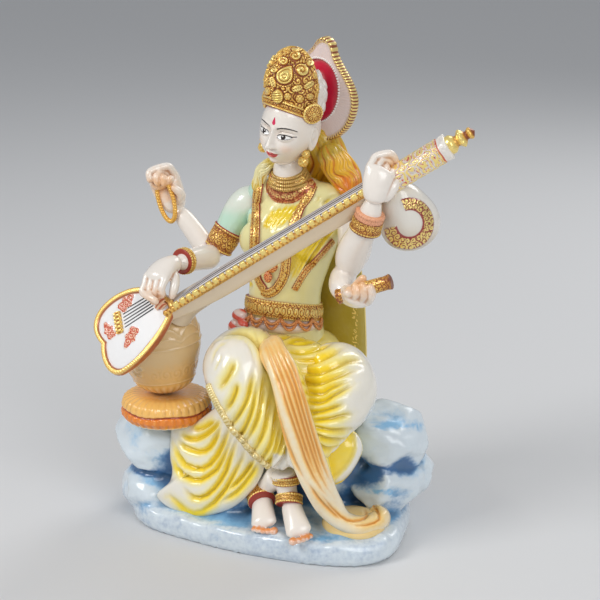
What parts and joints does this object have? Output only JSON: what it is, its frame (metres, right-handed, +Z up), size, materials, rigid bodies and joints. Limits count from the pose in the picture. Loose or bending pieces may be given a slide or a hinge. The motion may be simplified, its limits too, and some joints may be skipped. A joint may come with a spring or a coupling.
{
  "type": "seated goddess figurine",
  "caption": "Painted cast figurine of a crowned four-armed goddess seated on a rock, playing a veena that rests on a lotus cushion.",
  "frame": {"origin": "on the flat underside, below the seat", "axes": "+Z up, the figure faces -Y, its left hand side is +X"},
  "size_m": [0.1879, 0.1149, 0.2494],
  "materials": {
    "painted_cast": "hand-painted marble-dust resin under clear gloss"
  },
  "bodies": {
    "root": {"figure_on_rock": "painted_cast"}
  },
  "joints": []
}
